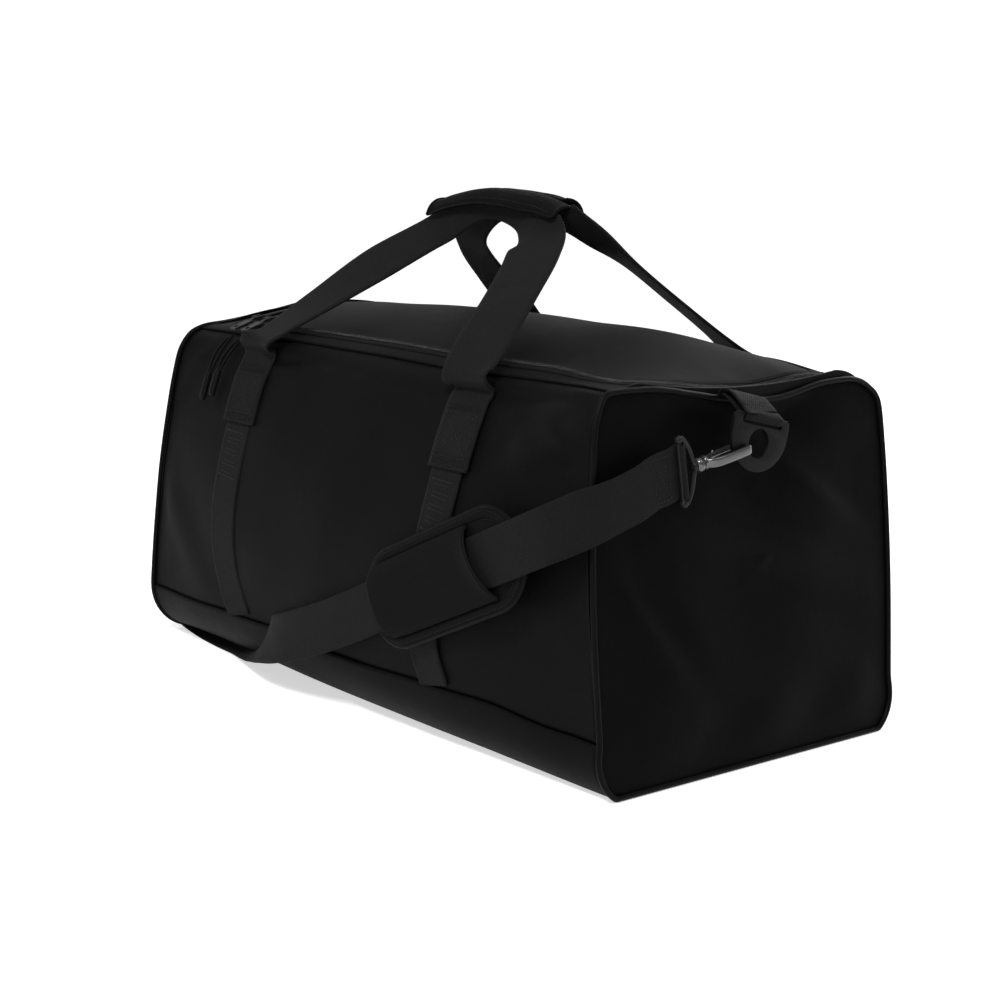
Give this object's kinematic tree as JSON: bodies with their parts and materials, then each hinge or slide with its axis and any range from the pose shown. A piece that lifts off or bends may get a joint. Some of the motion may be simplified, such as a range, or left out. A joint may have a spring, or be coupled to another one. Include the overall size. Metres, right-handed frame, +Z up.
{
  "type": "duffel bag",
  "caption": "Soft rectangular duffel bag with a zipped U-shaped lid, webbing carry handles joined by a padded grip, and a clip-on padded shoulder strap",
  "frame": {"origin": "on the floor under the middle of the bag", "axes": "+X along the bag towards the end that shows, +Y towards the back, +Z up; the front face looks towards -Y"},
  "size_m": [0.5891, 0.3643, 0.3979],
  "materials": {
    "shell_fabric": "matt spun polyester",
    "binding_fabric": "matt piping cover",
    "webbing": "heavy twill webbing",
    "pad_fabric": "padded matt polyester",
    "foam": "closed cell foam",
    "zip_tape": "woven zip tape",
    "zip_coil": "moulded nylon coil",
    "black_metal": "gloss black coated zinc",
    "pull_rubber": "soft moulded pull"
  },
  "bodies": {
    "bag": {"back_panel": "shell_fabric", "bottom_panel": "shell_fabric", "dring_tab_left": "webbing", "dring_tab_right": "webbing", "end_panel_left": "shell_fabric", "end_panel_right": "shell_fabric", "front_panel": "shell_fabric", "handle_anchor_front_left": "webbing", "handle_anchor_front_right": "webbing", "handle_anchor_rear_left": "webbing", "handle_anchor_rear_right": "webbing", "lid_hinge_cord": "binding_fabric", "piping_left": "binding_fabric", "piping_right": "binding_fabric", "seam_binding_left": "binding_fabric", "seam_binding_right": "binding_fabric", "shoulder_strap": "webbing", "strap_bar_left": "black_metal", "strap_bar_right": "black_metal", "top_strip_left": "shell_fabric", "top_strip_right": "shell_fabric", "webbing_front_left": "webbing", "webbing_front_right": "webbing", "webbing_rear_left": "webbing", "webbing_rear_right": "webbing", "zip_coil_outer": "zip_coil", "zip_stop_left": "zip_coil", "zip_stop_right": "zip_coil", "zip_tape_outer": "zip_tape"},
    "lid": {"lid_panel": "shell_fabric", "zip_tape_lid": "zip_tape", "zip_coil_lid": "zip_coil"},
    "handle_front": {"handle_front": "webbing", "grip_cover_front": "pad_fabric", "grip_foam_front": "foam"},
    "handle_rear": {"handle_rear": "webbing", "grip_cover_rear": "pad_fabric", "grip_foam_rear": "foam"},
    "slider_a": {"slider_a": "black_metal"},
    "slider_b": {"slider_b": "black_metal"},
    "pull_a": {"pull_tab_a": "black_metal"},
    "pull_b": {"pull_tab_b": "black_metal"},
    "cord_a": {"pull_cord_a": "pull_rubber"},
    "cord_b": {"pull_cord_b": "pull_rubber"},
    "dring_right": {"dring_right": "black_metal"},
    "dring_left": {"dring_left": "black_metal"},
    "hook_right": {"snap_hook_right": "black_metal"},
    "hook_left": {"snap_hook_left": "black_metal"},
    "gate_right": {"hook_gate_right": "black_metal"},
    "gate_left": {"hook_gate_left": "black_metal"},
    "pad": {"pad_cover": "pad_fabric", "pad_foam": "foam", "pad_sleeve": "pad_fabric"},
    "adjuster": {"strap_adjuster": "black_metal"}
  },
  "joints": [
    {"name": "lid_open", "type": "hinge", "parent": "bag", "child": "lid", "pos_m": [0, 0.1075, 0.2766], "axis": [-1, 0, 0], "range_deg": [0, 80]},
    {"name": "front_handle_swing", "type": "hinge", "parent": "bag", "child": "handle_front", "pos_m": [0, -0.1515, 0.2585], "axis": [1, 0, 0], "range_deg": [0, 144]},
    {"name": "rear_handle_swing", "type": "hinge", "parent": "bag", "child": "handle_rear", "pos_m": [0, 0.1515, 0.2585], "axis": [-1, 0, 0], "range_deg": [0, 144]},
    {"name": "slider_a_slide", "type": "slide", "parent": "bag", "child": "slider_a", "axis": [1, 0, 0], "range_m": [0, 0.362], "deforming": ["pull_cord_a"]},
    {"name": "slider_b_slide", "type": "slide", "parent": "bag", "child": "slider_b", "axis": [-1, 0, 0], "range_m": [0, 0.006], "deforming": ["pull_cord_b"]},
    {"name": "pull_tab_a_lift", "type": "hinge", "parent": "slider_a", "child": "pull_a", "pos_m": [-0.168, -0.11632, 0.28283], "axis": [-1, 0, 0], "range_deg": [0, 75]},
    {"name": "pull_tab_b_lift", "type": "hinge", "parent": "slider_b", "child": "pull_b", "pos_m": [-0.184, -0.11632, 0.28283], "axis": [-1, 0, 0], "range_deg": [0, 75]},
    {"name": "pull_cord_a_lift", "type": "hinge", "parent": "pull_a", "child": "cord_a", "pos_m": [-0.168, -0.1405, 0.269], "axis": [-1, 0, 0], "range_deg": [0, 60]},
    {"name": "pull_cord_b_lift", "type": "hinge", "parent": "pull_b", "child": "cord_b", "pos_m": [-0.184, -0.1405, 0.269], "axis": [-1, 0, 0], "range_deg": [0, 60]},
    {"name": "dring_right_swing", "type": "hinge", "parent": "bag", "child": "dring_right", "pos_m": [0.274, -0.009, 0.25], "axis": [0, 0.9781, -0.2079], "range_deg": [0, 2]},
    {"name": "hook_right_swivel", "type": "hinge", "parent": "bag", "child": "hook_right", "pos_m": [0.27, -0.02448, 0.2299], "axis": [0, -0.9781, -0.2079], "range_deg": [-5, 5]},
    {"name": "gate_right_press", "type": "hinge", "parent": "hook_right", "child": "gate_right", "pos_m": [0.2618, -0.0548, 0.22345], "axis": [0, 0.2079, -0.9781], "range_deg": [0, 7], "stiffness_Nm_per_rad": 0.02, "springref_deg": -11.46},
    {"name": "dring_left_swing", "type": "hinge", "parent": "bag", "child": "dring_left", "pos_m": [-0.274, 0, 0.251], "axis": [0, -0.9397, 0.342], "range_deg": [0, 2]},
    {"name": "hook_left_swivel", "type": "hinge", "parent": "bag", "child": "hook_left", "pos_m": [-0.27, -0.01026, 0.22281], "axis": [0, -0.342, -0.9397], "range_deg": [-5, 5]},
    {"name": "gate_left_press", "type": "hinge", "parent": "hook_left", "child": "gate_left", "pos_m": [-0.2618, -0.02086, 0.19368], "axis": [0, -0.9397, 0.342], "range_deg": [0, 7], "stiffness_Nm_per_rad": 0.02, "springref_deg": -11.46},
    {"name": "pad_slide", "type": "slide", "parent": "bag", "child": "pad", "axis": [0.9051, 0, 0.4253], "range_m": [-0.015, 0.015]},
    {"name": "adjuster_slide", "type": "slide", "parent": "bag", "child": "adjuster", "axis": [0.2021, 0.3718, 0.9061], "range_m": [-0.01, 0.025]}
  ],
  "couplings": [
    {"joint": "front_handle_swing", "follows": "lid_open", "ratio": 1.8},
    {"joint": "rear_handle_swing", "follows": "lid_open", "ratio": 1.8}
  ]
}
